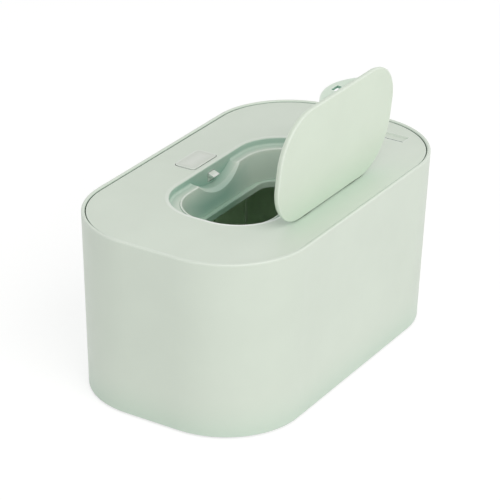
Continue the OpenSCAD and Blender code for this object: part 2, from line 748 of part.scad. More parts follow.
module hinge_pins() {
    color(steel) for (s = [-1, 1]) translate([pocket_x0(s) - pocket_wall, hinge_y, hinge_z])
        along_x(pocket_x1(s) - pocket_x0(s) + 2 * pocket_wall) circle(pin_r);
}

// torsion springs beside the arms: a coil round the pin with two straight legs
module lid_springs() {
    turns = 2.5;
    coil_r = 2.2;
    wire_r = 0.25;
    width = spring_room - 0.9;
    steps = turns * rings_per_curl;
    coil = [for (i = [0:steps]) let (a = 180 + 360 * i / rings_per_curl)
        [width * i / steps, coil_r * cos(a), coil_r * sin(a)]];
    echo(least_gap_lid_spring = least_gap(coil, wire_r, rings_per_curl / 2));
    color(steel) for (s = [-1, 1])
        translate([s > 0 ? pocket_x0(s) + 0.5 : pocket_x1(s) - 0.5, hinge_y, hinge_z])
            tube([for (p = concat([[0, -coil_r, 3]], coil, [[width, coil_r, 3]])) [s * p[0], p[1], p[2]]],
                 wire_r, 6);
}

// ---------------------------------------------------------------- button and latch

// channel that carries the latch slider and seats the two return springs
module latch_guide() {
    floor_z = deck_z - guide_depth;
    color(mint_dark) difference() {
        union() {
            translate([-guide_screw_x - 3.4, guide_y0, floor_z - 1.4])
                cube([2 * guide_screw_x + 6.8, guide_y1 - guide_y0, 1.4]);
            for (s = [-1, 1]) {
                // side wall and rail of the channel
                translate([s * 5 - 0.4, guide_y0, floor_z - 0.1]) cube([0.8, guide_y1 - guide_y0, 6.1]);
                translate([s * 3.9 - 0.8, guide_y0, floor_z - 0.1])
                    cube([1.6, guide_y1 - guide_y0, floor_gap + 0.1]);
                // hold-down lips
                for (y = [guide_y0 + 4.3, guide_y1 - 4.1]) {
                    translate([s * 5 - 0.4, y, floor_z + 5]) cube([0.8, 1.6, 2.1]);
                    translate([s * 4.4 - 1, y, floor_z + guide_depth - 5.5]) cube([2, 1.6, 0.6]);
                }
                translate([s * spring_x, button_y, floor_z - 0.1]) cylinder(h = 3.6, r = 1.3);
            }
        }
        for (x = [-1, 1]) translate([x * guide_screw_x, button_y, floor_z - 3]) cylinder(h = 6, r = 1.1);
    }
}

module guide_screws() {
    floor_z = deck_z - guide_depth;
    color(steel) for (x = [-1, 1]) translate([x * guide_screw_x, button_y, 0]) difference() {
        union() {
            translate([0, 0, floor_z - 2.8]) cylinder(h = 1.4, r = 2);
            translate([0, 0, floor_z - 1.5]) cylinder(h = 7, r = 0.9);
        }
        for (a = [0, 90]) rotate([0, 0, a]) translate([-1.3, -0.25, floor_z - 3]) cube([2.6, 0.5, 1]);
    }
}

// coil springs under the button
module button_springs() {
    turns = 6;
    coil_r = 2;
    wire_r = 0.25;
    bottom = deck_z - guide_depth + wire_r;
    height = guide_depth - cap_t - 2 * wire_r;
    steps = turns * rings_per_curl;
    coil = [for (i = [0:steps]) let (a = 360 * i / rings_per_curl)
        [coil_r * cos(a), coil_r * sin(a), height * i / steps]];
    echo(least_gap_button_spring = least_gap(coil, wire_r, rings_per_curl / 2));
    color(steel) for (s = [-1, 1]) translate([s * spring_x, button_y, bottom]) tube(coil, wire_r, 6);
}

// sloping cam: its face runs cam_ratio across for each millimetre down
function cam_y(z) = cam_y0 - cam_ratio * (z - slider_mid);

module push_button() {
    half = 1.1;          // half the cam leg's thickness
    color(mint) translate([0, 0, deck_z]) {
        difference() {
            union() {
                translate([button_x, button_y, -0.5]) rounded_plate(button_l - 0.6, button_w - 0.6, button_r - 0.3, 0.45);
                translate([button_x, button_y, -2.6]) rounded_plate(button_l, button_w, button_r, 2.25);
                translate([button_x, button_y, -3.2])
                    rounded_plate(button_l + 2, button_w + 2, button_r + 1, 0.95);
            }
            translate([button_x, button_y, -4]) rounded_plate(button_l - 2.8, button_w - 2.8, button_r - 1.4, 4 - cap_t);
            // notch that the nose draws back into
            translate([nose_x - nose_w / 2 - 0.8, button_y + button_w / 2 - 0.7, -3.3])
                cube([nose_w + 1.6, 2, 1.25]);
        }
        for (s = [-1, 1]) translate([s * spring_x, button_y, -3]) cylinder(h = 1.6, r = 1.3);
        translate([-2.4, 0, 0]) along_x(4.8) polygon([
            [cam_y(-1.4) - half + 0.6, -1.4], [cam_y(-1.4) + half, -1.4],
            [cam_y(-9.4) + half, -9.4], [cam_y(-9.4) - half, -9.4], [cam_y(-2) - half + 0.6, -2]]);
    }
}

// slider with the nose that holds the lid shut
module latch_slider() {
    slot = 1.1 + 0.25;
    color(mint) translate([0, 0, deck_z]) difference() {
        union() {
            translate([-4.3, slider_y0, slider_bottom]) cube([8.6, -slider_y0 - 34.2, slider_t]);
            // wedge with a flat underside that hooks into the lid's tab
            translate([nose_x - nose_w / 2, 0, 0]) along_x(nose_w) polygon([
                [-38, slider_bottom + 0.6], [well_front - 1.4, slider_bottom + 0.6], [well_front - 0.6, nose_under],
                [nose_y, nose_under + 0.1], [nose_y, nose_under + 0.6], [well_front, nose_top],
                [well_front - 0.6, nose_top], [well_front - 1, slider_bottom + slider_t],
                [-38, slider_bottom + slider_t]]);
        }
        translate([-2.7, 0, 0]) along_x(5.4) polygon([
            [cam_y(-5) - slot, -5], [cam_y(-5) + slot, -5], [cam_y(-9) + slot, -9], [cam_y(-9) - slot, -9]]);
    }
}

// ---------------------------------------------------------------- flip lid

// turn from the closed place, where the lid is drawn, to the open one
module opened() {
    translate([0, hinge_y, hinge_z]) rotate([-open_angle, 0, 0]) translate([0, -hinge_y, -hinge_z]) children();
}

// outer skin, a shallow tray with a crisp edge and a bevel under it
module lid_shell() {
    edge = 0.5;
    bevel = 0.9;         // lets the back edge swing past the well's lip
    color(mint) opened() difference() {
        union() {
            at_well(deck_z) swept_profile(lid_l, lid_w, lid_r, concat(
                arc(edge, -edge, edge, 180, 90),
                [[4, 0], [4, -lid_skin], [2.2, -lid_skin], [2.2, -lid_rim], [bevel, -lid_rim], [0, -1.3]]));
            at_well(deck_z - lid_skin) rounded_plate(lid_l - 7, lid_w - 7, lid_r - 3.5, lid_skin);
        }
        // room for the hinge arms
        for (s = [-1, 1]) translate([well_x + s * arm_offset - arm_w / 2 - 0.2, lid_back - 2.6, deck_z - lid_rim - 1])
            cube([arm_w + 0.4, 4, lid_rim - lid_skin + 1]);
    }
}

// inner half: plug plate, hinge arms and the half-disc tab with its latch slot
module lid_liner() {
    arm_x0 = -arm_w / 2;
    color(mint_dark) opened() {
        difference() {
            union() {
                at_well(deck_z - liner_bottom)
                    rounded_plate(lid_l - 4.7, lid_w - 4.7, lid_r - 2.35, liner_bottom - lid_skin - 0.05);
                // plug that reaches just inside the bead
                at_well(deck_z - plug_bottom)
                    rounded_plate(funnel_l - 2.2, funnel_w - 2.2, funnel_r - 1.1, plug_bottom - liner_bottom + 0.1);
                for (s = [-1, 1]) translate([well_x + s * arm_offset + arm_x0, 0, 0]) {
                    translate([0, hinge_y, hinge_z]) along_x(arm_w) circle(hub_r);
                    translate([0, 0, deck_z]) along_x(arm_w) polygon([
                        [lid_back - 5, -1.7], [lid_back + 0.1, -1.7], [hinge_y - 1.6, -1.1],
                        [hinge_y, -hinge_drop], [hinge_y - 3.2, -hinge_drop - 3],
                        [lid_back + 0.5, -hinge_drop], [lid_back - 2.4, -liner_bottom + 0.1],
                        [lid_back - 5, -liner_bottom + 0.1]]);
                }
                intersection() {
                    translate([scoop_x, tab_y - tab_t / 2, deck_z + tab_rise]) rotate([-90, 0, 0])
                        cylinder(h = tab_t, r = tab_r, $fn = 128);
                    translate([-30, tab_y - 3, deck_z - 14]) cube([60, 6, 14 - liner_bottom + 0.5]);
                }
            }
            translate([nose_x - tab_slot_w / 2, tab_y - 2, deck_z - tab_slot_bottom])
                cube([tab_slot_w, 3.4, tab_slot_bottom - tab_slot_top]);
            for (s = [-1, 1]) translate([well_x + s * arm_offset + arm_x0 - 1, hinge_y, hinge_z])
                along_x(arm_w + 2) circle(pin_r + 0.05);
        }
    }
}

// soft strip that lands on the bead; it stops either side of the tab
module lid_gasket() {
    color(silicone) opened() difference() {
        at_well(deck_z - gasket_bottom)
            rounded_band(funnel_l, funnel_w, funnel_r, -0.1 - gasket_w, -0.1, gasket_bottom - liner_bottom);
        translate([scoop_x - 23, -40, deck_z - 10]) cube([46, 20, 10]);
    }
}

outer_shell();
base_plate();
base_screws();
rubber_feet();
inner_tank();
heat_plate();
heater_film();
insulation_pad();
thermal_cutout();
temperature_sensor();
control_board();
board_screws();
mode_button();
indicator_lens();
power_inlet();
inlet_pins();
inlet_leads();
heater_leads();
cover_panel();
mouth_ring();
cover_seal();
hinge_pins();
lid_springs();
latch_guide();
guide_screws();
button_springs();
push_button();
latch_slider();
lid_shell();
lid_liner();
lid_gasket();
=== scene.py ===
import math
import bmesh
import bpy
from mathutils import Matrix, Vector


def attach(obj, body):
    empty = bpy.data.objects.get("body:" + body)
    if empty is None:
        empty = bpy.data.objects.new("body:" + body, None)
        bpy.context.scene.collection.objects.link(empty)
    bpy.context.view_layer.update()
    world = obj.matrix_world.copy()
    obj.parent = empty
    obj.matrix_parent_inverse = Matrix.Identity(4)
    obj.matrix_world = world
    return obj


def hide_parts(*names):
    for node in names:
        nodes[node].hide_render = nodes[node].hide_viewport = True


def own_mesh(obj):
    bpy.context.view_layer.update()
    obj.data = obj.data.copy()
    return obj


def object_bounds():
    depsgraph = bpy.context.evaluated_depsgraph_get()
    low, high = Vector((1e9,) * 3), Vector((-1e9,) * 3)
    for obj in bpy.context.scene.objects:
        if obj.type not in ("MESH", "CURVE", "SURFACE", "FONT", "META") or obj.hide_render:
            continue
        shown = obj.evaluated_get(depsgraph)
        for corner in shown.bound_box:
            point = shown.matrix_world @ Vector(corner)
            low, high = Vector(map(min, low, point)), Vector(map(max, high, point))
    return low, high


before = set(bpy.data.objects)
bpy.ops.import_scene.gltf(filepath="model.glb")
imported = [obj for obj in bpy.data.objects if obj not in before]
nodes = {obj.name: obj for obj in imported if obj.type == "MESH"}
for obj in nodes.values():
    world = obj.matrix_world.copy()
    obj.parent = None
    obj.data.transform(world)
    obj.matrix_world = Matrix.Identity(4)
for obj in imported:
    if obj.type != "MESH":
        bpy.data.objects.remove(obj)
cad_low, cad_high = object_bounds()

# Sizes are in millimetres, except where a comment says metres. +Z is up, and the push button is towards -Y.
MM = 0.001


# ------------------------------------------------------------------ sizes of the solids

BASE_HEIGHT = 1.0
RIM_HEIGHT = 103.3
RIM_SIZE = [2 * v / MM for v in cad_high[:2]]   # nothing stands out further than the rim
RIM_CORNER = 48.7
WALL_DRAFT = 4.5                   # of each wall, from the rim to the base
DECK_HEIGHT = RIM_HEIGHT - 0.9
WELL_CENTRE = (1.8, 0.8)           # the opening in the deck, on the plan
WELL_SIZE = (119.4, 65.6)
WELL_CORNER = 27.6
BUTTON_CENTRE = (0.1, -42.0)
BUTTON_SIZE = (24.2, 13.0)
BUTTON_CORNER = 2.3


# ------------------------------------------------------------------ camera

VIEW_AZIMUTH = 121.27              # degrees, 90 looks along -X
VIEW_ELEVATION = 26.01
VIEW_ROLL = 1.06
VIEW_DISTANCE = 1395
VIEW_TARGET = (0, 0, 56)
VIEW_PAN = (-5.13, 2.30)           # to the right and up
LENS = 181.8
SENSOR_WIDTH = 36
CLIP_METRES = (0.05, 50)


def make_camera():
    a, e, roll = (math.radians(v) for v in (VIEW_AZIMUTH, VIEW_ELEVATION, VIEW_ROLL))
    back = Vector((math.sin(a) * math.cos(e), -math.cos(a) * math.cos(e), math.sin(e)))
    level = Vector((math.cos(a), math.sin(a), 0))
    over = back.cross(level)
    right = level * math.cos(roll) + over * math.sin(roll)
    up = over * math.cos(roll) - level * math.sin(roll)
    data = bpy.data.cameras.new("camera")
    data.lens = LENS
    data.sensor_width = SENSOR_WIDTH
    data.clip_start, data.clip_end = CLIP_METRES
    camera = bpy.data.objects.new("camera", data)
    stand = Vector(VIEW_TARGET) + back * VIEW_DISTANCE + right * VIEW_PAN[0] + up * VIEW_PAN[1]
    turn = Matrix((right, up, back)).transposed().to_4x4()
    camera.matrix_world = Matrix.Translation(stand * MM) @ turn
    bpy.context.scene.collection.objects.link(camera)
    bpy.context.scene.camera = camera


# ------------------------------------------------------------------ light and floor

KEY_POWER = 20.5                   # watts
KEY_PLACE = (0.75, 1.35, 1.65)     # metres
KEY_TARGET = (0, 0, 0.08)          # metres
KEY_SIZE = (1.5, 1.5)              # metres
KEY_COLOUR = (1.0, 0.985, 0.955)
SKY_TOP = 0.47                     # strength of the even light from straight above
SKY_EDGE = 0.95                    # and from the horizon
SKY_COLOUR = (0.985, 1.0, 0.99)
FLOOR_REACH = 6.0                  # metres each way from the middle
FLOOR_GREY = 0.80                  # what the floor gives back to the object
FLOOR_ROUGHNESS = 0.9
FLOOR_GLOSS = 0.2
FLOOR_SEEN = 0.36                  # what the camera sees of the light that falls on the floor
FLOOR_GLOW = 0.72                  # and what is added to it, so that the open floor reads as white


def make_key_light():
    data = bpy.data.lights.new("key", "AREA")
    data.shape = "RECTANGLE"
    data.size, data.size_y = KEY_SIZE
    data.energy = KEY_POWER
    data.color = KEY_COLOUR
    lamp = bpy.data.objects.new("key", data)
    lamp.location = KEY_PLACE
    aim = Vector(KEY_TARGET) - Vector(KEY_PLACE)
    lamp.rotation_mode = "QUATERNION"
    lamp.rotation_quaternion = aim.to_track_quat("-Z", "Y")
    bpy.context.scene.collection.objects.link(lamp)


def make_world():
    world = bpy.data.worlds.new("world")
    bpy.context.scene.world = world
    world.use_nodes = True
    tree = world.node_tree
    tree.nodes.clear()
    height = part_of(tree, coordinate(tree, "Generated"), "Z")
    soft = tree.nodes.new("ShaderNodeBackground")
    soft.inputs["Color"].default_value = (*SKY_COLOUR, 1)
    tree.links.new(remap(tree, height, SKY_EDGE, SKY_TOP, 0, 1), soft.inputs["Strength"])
    white = tree.nodes.new("ShaderNodeBackground")
    white.inputs["Color"].default_value = grey(1)
    out = tree.nodes.new("ShaderNodeOutputWorld")
    sky = mixed(tree, seen_directly(tree), soft.outputs[0], white.outputs[0])
    tree.links.new(sky, out.inputs["Surface"])


def make_floor():
    r = FLOOR_REACH
    mesh = bpy.data.meshes.new("floor")
    mesh.from_pydata([(-r, -r, 0), (r, -r, 0), (r, r, 0), (-r, r, 0)], [], [(0, 1, 2, 3)])
    floor = bpy.data.objects.new("floor", mesh)
    bpy.context.scene.collection.objects.link(floor)
    paper, tree, shader = new_material("paper")
    shader.inputs["Base Color"].default_value = grey(FLOOR_GREY)
    shader.inputs["Roughness"].default_value = FLOOR_ROUGHNESS
    shader.inputs["Specular IOR Level"].default_value = FLOOR_GLOSS
    lit = tree.nodes.new("ShaderNodeBsdfDiffuse")
    lit.inputs["Color"].default_value = grey(FLOOR_SEEN)
    glow = tree.nodes.new("ShaderNodeEmission")
    glow.inputs["Strength"].default_value = FLOOR_GLOW
    both = tree.nodes.new("ShaderNodeAddShader")
    tree.links.new(lit.outputs[0], both.inputs[0])
    tree.links.new(glow.outputs[0], both.inputs[1])
    surface = mixed(tree, seen_directly(tree), shader.outputs[0], both.outputs[0])
    tree.links.new(surface, tree.nodes["Material Output"].inputs["Surface"])
    floor.data.materials.append(paper)


# ------------------------------------------------------------------ colours

def srgb(r, g, b):
    """Linear colour from 0 to 255 screen values."""
    return tuple(((v / 255 + 0.055) / 1.055) ** 2.4 for v in (r, g, b))


def grey(level):
    return (level, level, level, 1)


def shade(colour, by):
    """A colour made darker or lighter."""
    return tuple(min(1, v * by) for v in colour)


def toned(colour, tone):
    """A colour times a tone, channel by channel."""
    return tuple(v * k for v, k in zip(colour, tone))


def paler(colour, by=0.8):
    """A colour taken most of the way to white."""
    return tuple(v + (1 - v) * by for v in colour)


# ------------------------------------------------------------------ shader nodes

NOISE_RANGE = (0.3, 0.7)           # where nearly all of a noise lies
WAVE_BAND = 0.314                  # metres from band to band of a wave texture of scale 1
HOLLOW_SAMPLES = 5
EDGE_SAMPLES = 6


def new_material(name):
    mat = bpy.data.materials.new(name)
    mat.use_nodes = True
    return mat, mat.node_tree, mat.node_tree.nodes["Principled BSDF"]


def maths(tree, operation, a, b=None):
    """a and b are outputs; b may be a number."""
    node = tree.nodes.new("ShaderNodeMath")
    node.operation = operation
    tree.links.new(a, node.inputs[0])
    if isinstance(b, (int, float)):
        node.inputs[1].default_value = b
    elif b:
        tree.links.new(b, node.inputs[1])
    return node.outputs[0]


def larger(tree, first, *others):
    """The largest of some outputs."""
    for other in others:
        first = maths(tree, "MAXIMUM", first, other)
    return first


def smaller(tree, first, *others):
    """The smallest of some outputs."""
    for other in others:
        first = maths(tree, "MINIMUM", first, other)
    return first


def mixed(tree, share, a, b):
    """Mixes two shaders."""
    mix = tree.nodes.new("ShaderNodeMixShader")
    for i, link in enumerate((share, a, b)):
        tree.links.new(link, mix.inputs[i])
    return mix.outputs[0]


def tint(tree, value, low, high):
    """Mixes two colours, or two outputs, by value."""
    node = tree.nodes.new("ShaderNodeMix")
    node.data_type = "RGBA"
    tree.links.new(value, node.inputs["Factor"])
    for side, colour in (("A", low), ("B", high)):
        if isinstance(colour, tuple):
            node.inputs[side].default_value = (*colour, 1)
        else:
            tree.links.new(colour, node.inputs[side])
    return node.outputs["Result"]


def remap(tree, value, low, high, from_low=NOISE_RANGE[0], from_high=NOISE_RANGE[1]):
    node = tree.nodes.new("ShaderNodeMapRange")
    node.inputs["From Min"].default_value = from_low
    node.inputs["From Max"].default_value = from_high
    node.inputs["To Min"].default_value = low
    node.inputs["To Max"].default_value = high
    tree.links.new(value, node.inputs["Value"])
    return node.outputs["Result"]


def ramp(tree, value, start, end):
    """From 0 at start to 1 at end, both in millimetres, for a value in metres."""
    return remap(tree, value, 0, 1, start * MM, end * MM)


def seen_directly(tree):
    """1 for a ray from the camera, a mirror or a window, 0 for light on its way to a surface."""
    rays = tree.nodes.new("ShaderNodeLightPath").outputs
    return larger(tree, rays["Is Camera Ray"], rays["Is Glossy Ray"], rays["Is Transmission Ray"])


def coordinate(tree, kind):
    return tree.nodes.new("ShaderNodeTexCoord").outputs[kind]


def part_of(tree, vector, axis):
    """One axis of a vector."""
    node = tree.nodes.new("ShaderNodeSeparateXYZ")
    tree.links.new(vector, node.inputs[0])
    return node.outputs[axis]


def own_place(tree, stretch=(1, 1, 1)):
    """The object's own coordinates in metres, stretched."""
    mapping = tree.nodes.new("ShaderNodeMapping")
    mapping.inputs["Scale"].default_value = stretch
    tree.links.new(coordinate(tree, "Object"), mapping.inputs["Vector"])
    return mapping.outputs["Vector"]


def along(tree, axis):
    """One of the object's own coordinates, in metres."""
    return part_of(tree, own_place(tree), axis)


def flatness(tree):
    """1 for a face that looks straight up or down, 0 for a wall."""
    return maths(tree, "ABSOLUTE", part_of(tree, coordinate(tree, "Normal"), "Z"))


def outside(tree, centre, size, corner):
    """Metres outside a rectangle with round corners, on the plan."""
    value = own_place(tree, stretch=(1 / MM, 1 / MM, 0))
    core = [side / 2 - corner for side in size]
    steps = (("SUBTRACT", centre), ("ABSOLUTE", None), ("SUBTRACT", core), ("MAXIMUM", (0, 0)),
             ("LENGTH", None))
    for operation, other in steps:
        node = tree.nodes.new("ShaderNodeVectorMath")
        node.operation = operation
        tree.links.new(value, node.inputs[0])
        if other:
            node.inputs[1].default_value = (*other, 0)
        value = node.outputs["Value" if operation == "LENGTH" else "Vector"]
    return maths(tree, "MULTIPLY", maths(tree, "SUBTRACT", value, corner), MM)


def noise(tree, size, detail=2.0, rough=0.5, stretch=(1, 1, 1)):
    """Noise over the object's own coordinates; size is about one wave."""
    wave = tree.nodes.new("ShaderNodeTexNoise")
    wave.inputs["Scale"].default_value = 1 / (size * MM)
    wave.inputs["Detail"].default_value = detail
    wave.inputs["Roughness"].default_value = rough
    tree.links.new(own_place(tree, stretch), wave.inputs["Vector"])
    return wave.outputs["Fac"]


def clouds(tree, size, detail=2.0, rough=0.5):
    """Noise spread out to run from 0 to 1."""
    return remap(tree, noise(tree, size, detail, rough), 0, 1)


def cells(tree, size):
    grain = tree.nodes.new("ShaderNodeTexVoronoi")
    grain.inputs["Scale"].default_value = 1 / (size * MM)
    tree.links.new(own_place(tree), grain.inputs["Vector"])
    return grain.outputs["Distance"]


def stripes(tree, size, direction, distortion):
    wave = tree.nodes.new("ShaderNodeTexWave")
    wave.bands_direction = direction
    wave.inputs["Scale"].default_value = WAVE_BAND / (size * MM)
    wave.inputs["Distortion"].default_value = distortion
    tree.links.new(own_place(tree), wave.inputs["Vector"])
    return wave.outputs["Fac"]


def occluded(tree, reach, inside=False, alone=True):
    """How open a point is, 1 where nothing is within reach; alone leaves other pieces out.

    With inside, looked at from within the wall, so it drops along outer edges.
    """
    node = tree.nodes.new("ShaderNodeAmbientOcclusion")
    node.only_local = alone
    node.inside = inside
    node.samples = HOLLOW_SAMPLES
    node.inputs["Distance"].default_value = reach * MM
    return node.outputs["AO"]


def edge_round(tree, radius):
    """Softens the shading of crisp edges, as a mould's small radii do."""
    node = tree.nodes.new("ShaderNodeBevel")
    node.samples = EDGE_SAMPLES
    node.inputs["Radius"].default_value = radius * MM
    return node.outputs["Normal"]


def bump(tree, height, depth, strength, under=None):
    """Relief of depth millimetres, on top of the normal given as under."""
    node = tree.nodes.new("ShaderNodeBump")
    node.inputs["Strength"].default_value = strength
    node.inputs["Distance"].default_value = depth * MM
    tree.links.new(height, node.inputs["Height"])
    if under:
        tree.links.new(under, node.inputs["Normal"])
    return node.outputs["Normal"]


def finish_surface(tree, shader, colour, roughness, normal, spread=0.04):
    """Links a colour output, an uneven roughness and a normal."""
    tree.links.new(colour, shader.inputs["Base Color"])
    gloss = remap(tree, noise(tree, size=11), roughness - spread, roughness + spread)
    tree.links.new(gloss, shader.inputs["Roughness"])
    tree.links.new(normal, shader.inputs["Normal"])


# ------------------------------------------------------------------ moulded plastic

# Painted shade and painted highlight. A tint is what is left of each channel under painted shade. A range is
# the openness over which it comes in.
# painted shade in hollows, by how open a point is within the hollows' reach
HOLLOW_SHADE_TINT = (0.43, 0.64, 0.60)
HOLLOW_REACH = 60
HOLLOW_RANGE = (0.57, 0.99)
FLAT_LIFT = 0.42                   # flats take less of the painted shade than walls
NEAR_SHADE_TINT = (0.80, 0.91, 0.87)     # painted shade beside another piece
NEAR_REACH = 24
NEAR_RANGE = (0.10, 0.70)
SEAM_SHADE_TINT = (0.16, 0.18, 0.14)     # painted shade in a narrow gap
SEAM_REACH = 2.2
SEAM_RANGE = (0.10, 0.52)
EDGE_REACH = 1.1
EDGE_RANGE = (0.5, 0.95)
EDGE_HIGHLIGHT = 0.6                    # how far the painted highlight takes an outer edge's colour towards its paler one

# Places on the cover. Heights are above the floor.
LIP_IN = (0.5, 0.7)                # out from the well, where the painted highlight on the lip fades in
LIP_OUT = (2.4, 2.0)               # and out
LIP_HIGHLIGHT = (0.15, 0.95)           # how bright the painted highlight is, at these two places along Y
LIP_HIGHLIGHT_FROM_TO = (-30, 20)
LIP_DROP = 0.6                     # how far below the deck it ends
SEAT_SHADE = 0.58                   # what painted shade leaves of the paint on the seat, beside the well's wall
SEAT_FROM_TO = (-5.0, -1.2)        # out from the well's wall
SEAT_PAST = (1.5, 3.0)             # beyond this lies the rest of the cover, without the seat's painted shade
SEAT_DROP = (0.8, 0.2)             # how far below the deck the seat's painted shade is whole, and gone
FUNNEL_MIDDLE = 8                  # along X
FUNNEL_ENDS = (10, 38)             # from the middle, where its painted shade starts and stops fading
END_OPEN = 0.8                     # how much the painted shade fades there, where the ends face the light
END_LIFT = 0.30                    # and how much less of the hollows' painted shade the ends take
FUNNEL_SHADE_HEIGHTS = (86, 98.2)        # painted shade, whole at the first height and gone at the second, below the lid's seat
# painted shade on the mouth ring, whole at the first height and gone at the second, with its own tint
RING_SHADE_HEIGHTS = (84, 91)
RING_SHADE_TINT = (0.43, 0.58, 0.52)
SLOT_X = (-84, -83.5)              # the finger recess's undercut slot lies towards -X from here
SLOT_HEIGHT = (101.1, 101.2)       # and below this
SLOT_SHADE = 0.3
SKIRT_OUT = (-8, -7)               # out from the rim's edge: past the slot, before the cover's skirt
SHARP = 0.1                        # over which a sharp border fades


def funnel_ends(tree):
    """How much of the funnel's painted shade is taken off where its ends meet more light: 0 halfway along the
    well's funnel, END_OPEN at its ends.
    """
    off = maths(tree, "ABSOLUTE", maths(tree, "SUBTRACT", along(tree, "X"), FUNNEL_MIDDLE * MM))
    return remap(tree, off, 0, END_OPEN, *(v * MM for v in FUNNEL_ENDS))


def well_highlight_and_shade(tree, colour, hollow_shade, paint):
    """A painted highlight on the cover's lip round the well, and painted shade on its seat that darkens out
    to the well's wall.
    """
    away = outside(tree, WELL_CENTRE, WELL_SIZE, WELL_CORNER)
    height = along(tree, "Z")
    # painted highlight along the lip
    band = smaller(tree, ramp(tree, away, *LIP_IN), ramp(tree, away, *LIP_OUT),
                   ramp(tree, height, DECK_HEIGHT - LIP_DROP, DECK_HEIGHT))
    shine = remap(tree, along(tree, "Y"), *LIP_HIGHLIGHT, *(y * MM for y in LIP_HIGHLIGHT_FROM_TO))
    paint = tint(tree, maths(tree, "MULTIPLY", band, shine), paint, paler(colour))
    # painted shade on the seat
    seat = remap(tree, away, 1, SEAT_SHADE, *(d * MM for d in SEAT_FROM_TO))
    deck = ramp(tree, height, *(DECK_HEIGHT - drop for drop in SEAT_DROP))
    return tint(tree, larger(tree, seat, deck, ramp(tree, away, *SEAT_PAST)), hollow_shade, paint)


def undercut_shade(tree, hollow_shade, paint):
    """Painted shade in the undercut of the finger recess."""
    beyond = ramp(tree, along(tree, "X"), *SLOT_X)
    above = ramp(tree, along(tree, "Z"), *SLOT_HEIGHT)
    skirt = ramp(tree, outside(tree, (0, 0), RIM_SIZE, RIM_CORNER), *SKIRT_OUT)
    return tint(tree, larger(tree, beyond, above, skirt), shade(hollow_shade, SLOT_SHADE), paint)


def moulded(name, colour, roughness=0.42, grain=0.012, grain_size=0.32, mottle=0.018, tone=HOLLOW_SHADE_TINT,
            shade_hollows=True, seams=True, near=1.0, depth=None, under=None, over=None):
    """Satin injection moulding: a spark-eroded grain, faint flow mottling and an uneven gloss.

    The colour carries painted shade in hollows, between the two heights of depth, beside other pieces and in
    narrow gaps, and a painted highlight along outer edges.
    under and over are layers of paint that go on before the hollows' painted shade and after everything else.
    """
    mat, tree, shader = new_material(name)
    hollow_shade = toned(colour, tone)
    paint = tint(tree, clouds(tree, size=38, detail=3), shade(colour, 1 - mottle), shade(colour, 1 + mottle))
    # painted highlight: outer edges paler, as if catching light
    edge_shine = remap(tree, occluded(tree, EDGE_REACH, inside=True), EDGE_HIGHLIGHT, 0, *EDGE_RANGE)
    paint = tint(tree, edge_shine, paint, paler(colour))
    lift = maths(tree, "MULTIPLY", flatness(tree), FLAT_LIFT)
    # painted shade that deepens down between the two heights of depth, lifted towards the funnel's lit ends
    if depth:
        ends = funnel_ends(tree)
        lift = maths(tree, "ADD", lift, maths(tree, "MULTIPLY", ends, END_LIFT))
        paint = tint(tree, larger(tree, ramp(tree, along(tree, "Z"), *depth), ends), hollow_shade, paint)
    if under:
        paint = under(tree, colour, hollow_shade, paint)
    # painted shade in hollows, less on flats
    if shade_hollows:
        openness = maths(tree, "ADD", occluded(tree, HOLLOW_REACH), lift)
        paint = tint(tree, remap(tree, openness, 0, 1, *HOLLOW_RANGE), hollow_shade, paint)
    # painted shade where another piece stands near
    beside = maths(tree, "SUBTRACT", occluded(tree, NEAR_REACH), occluded(tree, NEAR_REACH, alone=False))
    paint = tint(tree, remap(tree, beside, 0, near, *NEAR_RANGE), paint, toned(colour, NEAR_SHADE_TINT))
    # painted shade in narrow gaps between pieces
    if seams:
        gap = remap(tree, occluded(tree, SEAM_REACH, alone=False), 1, 0, *SEAM_RANGE)
        paint = tint(tree, gap, paint, toned(colour, SEAM_SHADE_TINT))
    if over:
        paint = over(tree, hollow_shade, paint)
    soft_edge = edge_round(tree, radius=0.25)
    flow = bump(tree, noise(tree, size=22, detail=1), depth=0.05, strength=0.5, under=soft_edge)
    spark = noise(tree, grain_size, detail=3, rough=0.6)
    finish_surface(tree, shader, paint, roughness, bump(tree, spark, grain, strength=0.6, under=flow))
    return mat


# ------------------------------------------------------------------ other materials

TRACK_RANGE = (0.42, 0.52)         # of the stripes, from the film to the heater's tracks
TRACE_RANGE = (0.45, 0.55)         # of the stripes, from the board's darker shade to its lighter one
PORE_RANGE = (0.05, 0.6)           # of the cells, from a pore's middle to the foam


def soft_rubber(name, colour, roughness, through=0.0):
    """Silicone or rubber: a fine bloom on the colour, tiny pits, and light that goes a little way in."""
    mat, tree, shader = new_material(name)
    bloom = clouds(tree, size=3.5, detail=4, rough=0.65)
    paint = tint(tree, bloom, shade(colour, 0.93), shade(colour, 1.07))
    pits = bump(tree, cells(tree, size=0.55), depth=0.02, strength=0.5, under=edge_round(tree, radius=0.2))
    finish_surface(tree, shader, paint, roughness, pits, spread=0.06)
    shader.inputs["Subsurface Weight"].default_value = through
    shader.inputs["Subsurface Radius"].default_value = (0.9, 1.0, 0.8)
    shader.inputs["Subsurface Scale"].default_value = 1.2 * MM
    return mat


def metal(name, colour, roughness, stretch=(1, 1, 1), line=0.35):
    """Metal with drawing or rolling lines along the axis of smallest stretch."""
    mat, tree, shader = new_material(name)
    lines = noise(tree, line, detail=4, rough=0.7, stretch=stretch)
    paint = tint(tree, clouds(tree, size=6, detail=3), shade(colour, 0.88), colour)
    drawn = bump(tree, lines, depth=0.008, strength=0.5, under=edge_round(tree, radius=0.12))
    finish_surface(tree, shader, paint, roughness, drawn, spread=0.08)
    shader.inputs["Metallic"].default_value = 1
    return mat


